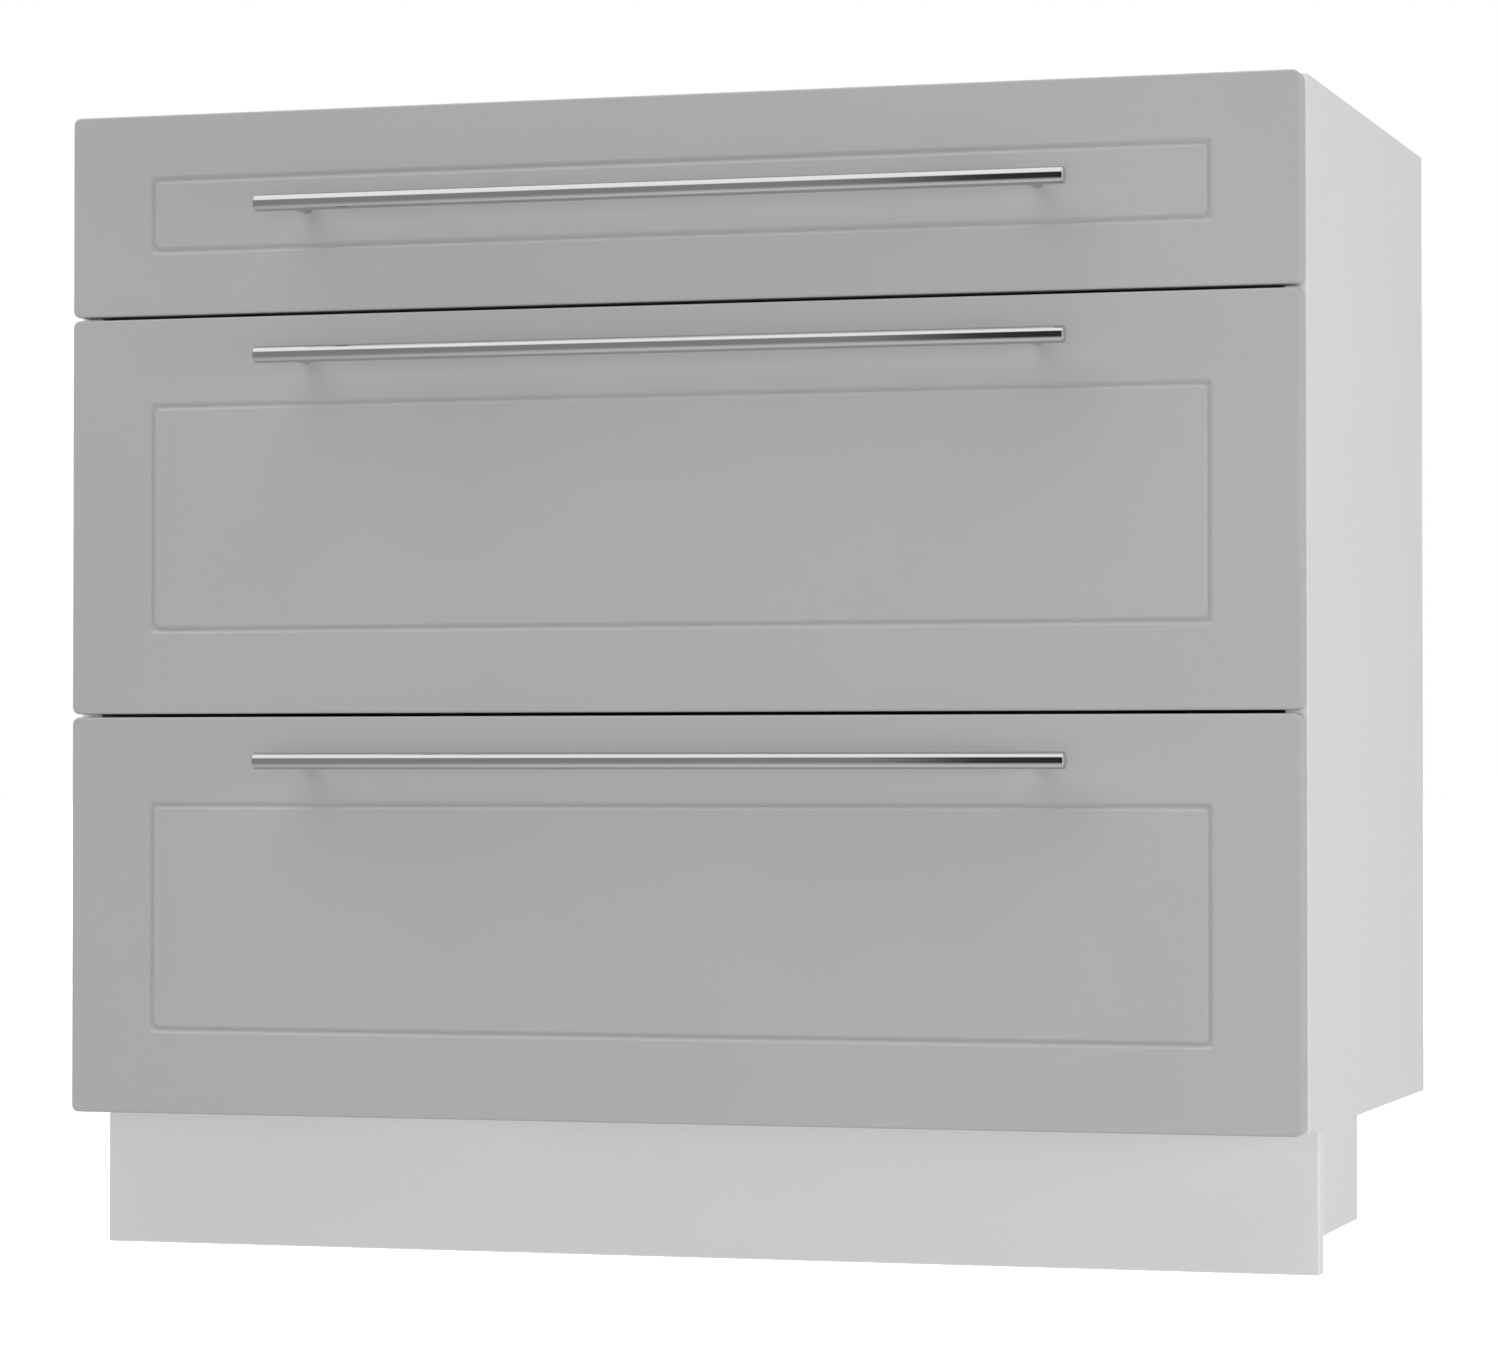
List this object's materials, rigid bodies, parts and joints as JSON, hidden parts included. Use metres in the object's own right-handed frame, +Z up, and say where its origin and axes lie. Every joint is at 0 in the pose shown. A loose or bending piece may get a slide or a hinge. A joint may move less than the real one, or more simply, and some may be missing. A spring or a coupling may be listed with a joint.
{
  "type": "base cabinet with drawers",
  "caption": "Kitchen base cabinet: a shallow drawer over deep drawers, framed grey fronts, long bar handles, ball-bearing slides, white body on a recessed plinth.",
  "frame": {"origin": "on the floor, in the middle of the footprint, handles included", "axes": "+X to the right as seen from the front, +Y to the back, +Z up"},
  "size_m": [0.9, 0.546, 0.817],
  "materials": {
    "white_board": "white melamine-faced chipboard, fine matt",
    "white_hardboard": "white lacquered hardboard",
    "grey_front": "light grey satin lacquer on fibreboard",
    "drawer_board": "white foil-wrapped chipboard",
    "drawer_bottom": "white coated board with a fine grain",
    "handle_steel": "polished stainless steel",
    "slide_steel": "bright zinc-plated steel",
    "cage_steel": "zinc-plated strip with polished balls",
    "bracket_steel": "zinc-plated steel",
    "screw_steel": "zinc-plated steel",
    "cam_zinc": "die-cast zinc",
    "beech": "ribbed beech dowel",
    "clear_rubber": "soft clear buffer"
  },
  "bodies": {
    "carcass": {"side_panel_left": "white_board", "side_panel_right": "white_board", "bottom_panel": "white_board", "front_rail": "white_board", "rear_rail": "white_board", "back_panel": "white_hardboard", "plinth_front_board": "white_board", "plinth_left_board": "white_board", "plinth_right_board": "white_board", "plinth_rear_board": "white_board", "plinth_brackets": "bracket_steel", "bracket_screws": "screw_steel", "cam_bolts": "screw_steel", "cam_locks": "cam_zinc", "wooden_dowels": "beech", "front_bumpers": "clear_rubber", "cabinet_slide_members": "slide_steel", "slide_screws": "screw_steel"},
    "drawer_top": {"front_top": "grey_front", "box_front_top": "drawer_board", "box_left_top": "drawer_board", "box_right_top": "drawer_board", "box_back_top": "drawer_board", "box_bottom_top": "drawer_bottom", "box_screws_top": "screw_steel", "drawer_slide_members_top": "slide_steel", "handle_bar_top": "handle_steel", "handle_posts_top": "handle_steel", "handle_screws_top": "screw_steel"},
    "middle_members_top": {"middle_slide_members_top": "slide_steel"},
    "outer_cages_top": {"outer_ball_cages_top": "cage_steel"},
    "inner_cages_top": {"inner_ball_cages_top": "cage_steel"},
    "drawer_middle": {"front_middle": "grey_front", "box_front_middle": "drawer_board", "box_left_middle": "drawer_board", "box_right_middle": "drawer_board", "box_back_middle": "drawer_board", "box_bottom_middle": "drawer_bottom", "box_screws_middle": "screw_steel", "drawer_slide_members_middle": "slide_steel", "handle_bar_middle": "handle_steel", "handle_posts_middle": "handle_steel", "handle_screws_middle": "screw_steel"},
    "middle_members_middle": {"middle_slide_members_middle": "slide_steel"},
    "outer_cages_middle": {"outer_ball_cages_middle": "cage_steel"},
    "inner_cages_middle": {"inner_ball_cages_middle": "cage_steel"},
    "drawer_bottom": {"front_bottom": "grey_front", "box_front_bottom": "drawer_board", "box_left_bottom": "drawer_board", "box_right_bottom": "drawer_board", "box_back_bottom": "drawer_board", "box_bottom_bottom": "drawer_bottom", "box_screws_bottom": "screw_steel", "drawer_slide_members_bottom": "slide_steel", "handle_bar_bottom": "handle_steel", "handle_posts_bottom": "handle_steel", "handle_screws_bottom": "screw_steel"},
    "middle_members_bottom": {"middle_slide_members_bottom": "slide_steel"},
    "outer_cages_bottom": {"outer_ball_cages_bottom": "cage_steel"},
    "inner_cages_bottom": {"inner_ball_cages_bottom": "cage_steel"}
  },
  "joints": [
    {"name": "drawer_top_slide", "type": "slide", "parent": "carcass", "child": "drawer_top", "axis": [0, -1, 0], "range_m": [0, 0.45]},
    {"name": "middle_members_top_slide", "type": "slide", "parent": "carcass", "child": "middle_members_top", "axis": [0, -1, 0], "range_m": [0, 0.225]},
    {"name": "outer_cages_top_slide", "type": "slide", "parent": "carcass", "child": "outer_cages_top", "axis": [0, -1, 0], "range_m": [0, 0.1125]},
    {"name": "inner_cages_top_slide", "type": "slide", "parent": "carcass", "child": "inner_cages_top", "axis": [0, -1, 0], "range_m": [0, 0.3375]},
    {"name": "drawer_middle_slide", "type": "slide", "parent": "carcass", "child": "drawer_middle", "axis": [0, -1, 0], "range_m": [0, 0.45]},
    {"name": "middle_members_middle_slide", "type": "slide", "parent": "carcass", "child": "middle_members_middle", "axis": [0, -1, 0], "range_m": [0, 0.225]},
    {"name": "outer_cages_middle_slide", "type": "slide", "parent": "carcass", "child": "outer_cages_middle", "axis": [0, -1, 0], "range_m": [0, 0.1125]},
    {"name": "inner_cages_middle_slide", "type": "slide", "parent": "carcass", "child": "inner_cages_middle", "axis": [0, -1, 0], "range_m": [0, 0.3375]},
    {"name": "drawer_bottom_slide", "type": "slide", "parent": "carcass", "child": "drawer_bottom", "axis": [0, -1, 0], "range_m": [0, 0.45]},
    {"name": "middle_members_bottom_slide", "type": "slide", "parent": "carcass", "child": "middle_members_bottom", "axis": [0, -1, 0], "range_m": [0, 0.225]},
    {"name": "outer_cages_bottom_slide", "type": "slide", "parent": "carcass", "child": "outer_cages_bottom", "axis": [0, -1, 0], "range_m": [0, 0.1125]},
    {"name": "inner_cages_bottom_slide", "type": "slide", "parent": "carcass", "child": "inner_cages_bottom", "axis": [0, -1, 0], "range_m": [0, 0.3375]}
  ],
  "couplings": [
    {"joint": "middle_members_top_slide", "follows": "drawer_top_slide", "ratio": 0.5},
    {"joint": "outer_cages_top_slide", "follows": "drawer_top_slide", "ratio": 0.25},
    {"joint": "inner_cages_top_slide", "follows": "drawer_top_slide", "ratio": 0.75},
    {"joint": "middle_members_middle_slide", "follows": "drawer_middle_slide", "ratio": 0.5},
    {"joint": "outer_cages_middle_slide", "follows": "drawer_middle_slide", "ratio": 0.25},
    {"joint": "inner_cages_middle_slide", "follows": "drawer_middle_slide", "ratio": 0.75},
    {"joint": "middle_members_bottom_slide", "follows": "drawer_bottom_slide", "ratio": 0.5},
    {"joint": "outer_cages_bottom_slide", "follows": "drawer_bottom_slide", "ratio": 0.25},
    {"joint": "inner_cages_bottom_slide", "follows": "drawer_bottom_slide", "ratio": 0.75}
  ]
}
